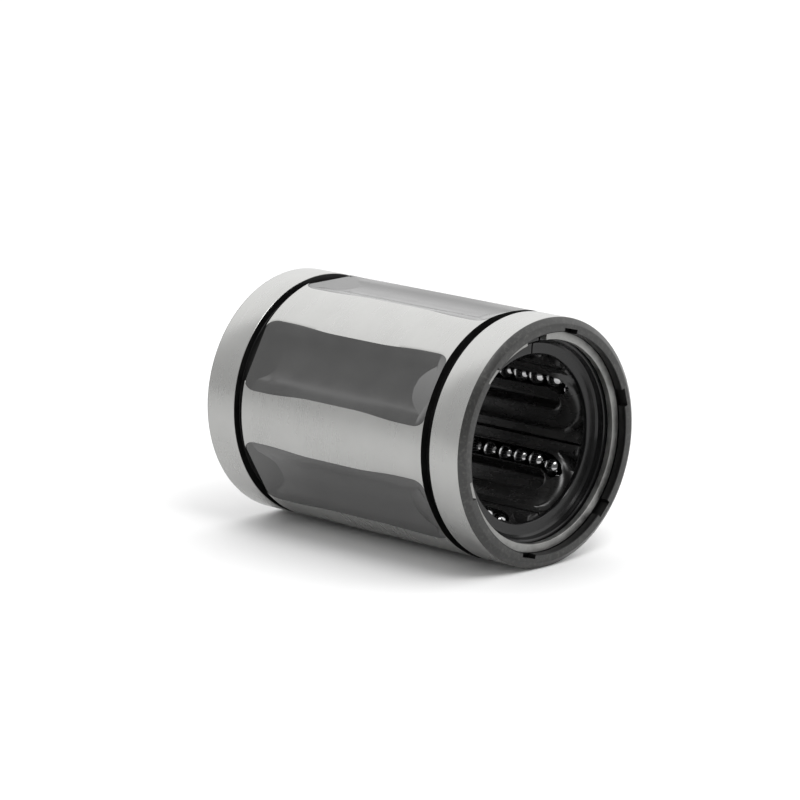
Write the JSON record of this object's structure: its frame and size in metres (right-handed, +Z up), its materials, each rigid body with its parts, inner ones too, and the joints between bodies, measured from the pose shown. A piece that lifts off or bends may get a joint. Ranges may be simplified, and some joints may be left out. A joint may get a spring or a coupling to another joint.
{
  "type": "linear ball bearing",
  "caption": "Closed linear ball bearing: a ground steel sleeve with outside grooves and pockets, round a segmented plastic cage whose endless circuits of balls carry a sliding shaft.",
  "frame": {"origin": "centre of the bearing, on its axis, halfway along its length", "axes": "+X along the bearing's axis towards its front face, +Z up through the middle of one outside pocket and its loaded row"},
  "size_m": [0.058, 0.04, 0.04],
  "materials": {
    "ground_steel": "ground, satin",
    "black_plastic": "moulded, lightly oiled",
    "end_ring_plastic": "moulded, satin",
    "spring_steel": "phosphated and worn bright",
    "ball_steel": "polished"
  },
  "bodies": {
    "bearing": {"outer_sleeve": "ground_steel", "cage_segment_1": "black_plastic", "cage_segment_2": "black_plastic", "cage_segment_3": "black_plastic", "cage_segment_4": "black_plastic", "cage_segment_5": "black_plastic", "cage_segment_6": "black_plastic", "end_ring_front": "end_ring_plastic", "end_ring_rear": "end_ring_plastic", "snap_ring_front": "spring_steel", "snap_ring_rear": "spring_steel"},
    "load_balls_1": {"load_balls_1": "ball_steel"},
    "front_turn_balls_1": {"front_turn_balls_1": "ball_steel"},
    "return_balls_1": {"return_balls_1": "ball_steel"},
    "rear_turn_balls_1": {"rear_turn_balls_1": "ball_steel"},
    "load_balls_2": {"load_balls_2": "ball_steel"},
    "front_turn_balls_2": {"front_turn_balls_2": "ball_steel"},
    "return_balls_2": {"return_balls_2": "ball_steel"},
    "rear_turn_balls_2": {"rear_turn_balls_2": "ball_steel"},
    "load_balls_3": {"load_balls_3": "ball_steel"},
    "front_turn_balls_3": {"front_turn_balls_3": "ball_steel"},
    "return_balls_3": {"return_balls_3": "ball_steel"},
    "rear_turn_balls_3": {"rear_turn_balls_3": "ball_steel"},
    "load_balls_4": {"load_balls_4": "ball_steel"},
    "front_turn_balls_4": {"front_turn_balls_4": "ball_steel"},
    "return_balls_4": {"return_balls_4": "ball_steel"},
    "rear_turn_balls_4": {"rear_turn_balls_4": "ball_steel"},
    "load_balls_5": {"load_balls_5": "ball_steel"},
    "front_turn_balls_5": {"front_turn_balls_5": "ball_steel"},
    "return_balls_5": {"return_balls_5": "ball_steel"},
    "rear_turn_balls_5": {"rear_turn_balls_5": "ball_steel"},
    "load_balls_6": {"load_balls_6": "ball_steel"},
    "front_turn_balls_6": {"front_turn_balls_6": "ball_steel"},
    "return_balls_6": {"return_balls_6": "ball_steel"},
    "rear_turn_balls_6": {"rear_turn_balls_6": "ball_steel"}
  },
  "joints": [
    {"name": "load_slide_1", "type": "slide", "parent": "bearing", "child": "load_balls_1", "axis": [1, 0, 0], "range_m": [-0.00168, 0.00168]},
    {"name": "front_turn_1", "type": "hinge", "parent": "bearing", "child": "front_turn_balls_1", "pos_m": [0.01675, 0.00423, 0.01354], "axis": [-0.342, 0.1211, 0.9319], "range_deg": [-22.51, 22.51]},
    {"name": "rear_turn_1", "type": "hinge", "parent": "bearing", "child": "rear_turn_balls_1", "pos_m": [-0.01675, 0.00423, 0.01354], "axis": [0.342, 0.1211, 0.9319], "range_deg": [-22.51, 22.51]},
    {"name": "return_slide_1", "type": "slide", "parent": "bearing", "child": "return_balls_1", "axis": [1, 0, 0], "range_m": [-0.00168, 0.00168]},
    {"name": "load_slide_2", "type": "slide", "parent": "bearing", "child": "load_balls_2", "axis": [1, 0, 0], "range_m": [-0.00168, 0.00168]},
    {"name": "front_turn_2", "type": "hinge", "parent": "bearing", "child": "front_turn_balls_2", "pos_m": [0.01675, -0.00961, 0.01043], "axis": [-0.342, -0.7464, 0.5708], "range_deg": [-22.51, 22.51]},
    {"name": "rear_turn_2", "type": "hinge", "parent": "bearing", "child": "rear_turn_balls_2", "pos_m": [-0.01675, -0.00961, 0.01043], "axis": [0.342, -0.7464, 0.5708], "range_deg": [-22.51, 22.51]},
    {"name": "return_slide_2", "type": "slide", "parent": "bearing", "child": "return_balls_2", "axis": [1, 0, 0], "range_m": [-0.00168, 0.00168]},
    {"name": "load_slide_3", "type": "slide", "parent": "bearing", "child": "load_balls_3", "axis": [1, 0, 0], "range_m": [-0.00168, 0.00168]},
    {"name": "front_turn_3", "type": "hinge", "parent": "bearing", "child": "front_turn_balls_3", "pos_m": [0.01675, -0.01384, -0.00311], "axis": [-0.342, -0.8676, -0.361], "range_deg": [-22.51, 22.51]},
    {"name": "rear_turn_3", "type": "hinge", "parent": "bearing", "child": "rear_turn_balls_3", "pos_m": [-0.01675, -0.01384, -0.00311], "axis": [0.342, -0.8676, -0.361], "range_deg": [-22.51, 22.51]},
    {"name": "return_slide_3", "type": "slide", "parent": "bearing", "child": "return_balls_3", "axis": [1, 0, 0], "range_m": [-0.00168, 0.00168]},
    {"name": "load_slide_4", "type": "slide", "parent": "bearing", "child": "load_balls_4", "axis": [1, 0, 0], "range_m": [-0.00168, 0.00168]},
    {"name": "front_turn_4", "type": "hinge", "parent": "bearing", "child": "front_turn_balls_4", "pos_m": [0.01675, -0.00423, -0.01354], "axis": [-0.342, -0.1211, -0.9319], "range_deg": [-22.51, 22.51]},
    {"name": "rear_turn_4", "type": "hinge", "parent": "bearing", "child": "rear_turn_balls_4", "pos_m": [-0.01675, -0.00423, -0.01354], "axis": [0.342, -0.1211, -0.9319], "range_deg": [-22.51, 22.51]},
    {"name": "return_slide_4", "type": "slide", "parent": "bearing", "child": "return_balls_4", "axis": [1, 0, 0], "range_m": [-0.00168, 0.00168]},
    {"name": "load_slide_5", "type": "slide", "parent": "bearing", "child": "load_balls_5", "axis": [1, 0, 0], "range_m": [-0.00168, 0.00168]},
    {"name": "front_turn_5", "type": "hinge", "parent": "bearing", "child": "front_turn_balls_5", "pos_m": [0.01675, 0.00961, -0.01043], "axis": [-0.342, 0.7464, -0.5708], "range_deg": [-22.51, 22.51]},
    {"name": "rear_turn_5", "type": "hinge", "parent": "bearing", "child": "rear_turn_balls_5", "pos_m": [-0.01675, 0.00961, -0.01043], "axis": [0.342, 0.7464, -0.5708], "range_deg": [-22.51, 22.51]},
    {"name": "return_slide_5", "type": "slide", "parent": "bearing", "child": "return_balls_5", "axis": [1, 0, 0], "range_m": [-0.00168, 0.00168]},
    {"name": "load_slide_6", "type": "slide", "parent": "bearing", "child": "load_balls_6", "axis": [1, 0, 0], "range_m": [-0.00168, 0.00168]},
    {"name": "front_turn_6", "type": "hinge", "parent": "bearing", "child": "front_turn_balls_6", "pos_m": [0.01675, 0.01384, 0.00311], "axis": [-0.342, 0.8676, 0.361], "range_deg": [-22.51, 22.51]},
    {"name": "rear_turn_6", "type": "hinge", "parent": "bearing", "child": "rear_turn_balls_6", "pos_m": [-0.01675, 0.01384, 0.00311], "axis": [0.342, 0.8676, 0.361], "range_deg": [-22.51, 22.51]},
    {"name": "return_slide_6", "type": "slide", "parent": "bearing", "child": "return_balls_6", "axis": [1, 0, 0], "range_m": [-0.00168, 0.00168]}
  ],
  "couplings": [
    {"joint": "front_turn_1", "follows": "load_slide_1", "rad_per_m": 234.45},
    {"joint": "return_slide_1", "follows": "load_slide_1", "ratio": -1},
    {"joint": "rear_turn_1", "follows": "load_slide_1", "rad_per_m": 234.45},
    {"joint": "front_turn_2", "follows": "load_slide_2", "rad_per_m": 234.45},
    {"joint": "return_slide_2", "follows": "load_slide_2", "ratio": -1},
    {"joint": "rear_turn_2", "follows": "load_slide_2", "rad_per_m": 234.45},
    {"joint": "front_turn_3", "follows": "load_slide_3", "rad_per_m": 234.45},
    {"joint": "return_slide_3", "follows": "load_slide_3", "ratio": -1},
    {"joint": "rear_turn_3", "follows": "load_slide_3", "rad_per_m": 234.45},
    {"joint": "front_turn_4", "follows": "load_slide_4", "rad_per_m": 234.45},
    {"joint": "return_slide_4", "follows": "load_slide_4", "ratio": -1},
    {"joint": "rear_turn_4", "follows": "load_slide_4", "rad_per_m": 234.45},
    {"joint": "front_turn_5", "follows": "load_slide_5", "rad_per_m": 234.45},
    {"joint": "return_slide_5", "follows": "load_slide_5", "ratio": -1},
    {"joint": "rear_turn_5", "follows": "load_slide_5", "rad_per_m": 234.45},
    {"joint": "front_turn_6", "follows": "load_slide_6", "rad_per_m": 234.45},
    {"joint": "return_slide_6", "follows": "load_slide_6", "ratio": -1},
    {"joint": "rear_turn_6", "follows": "load_slide_6", "rad_per_m": 234.45}
  ]
}
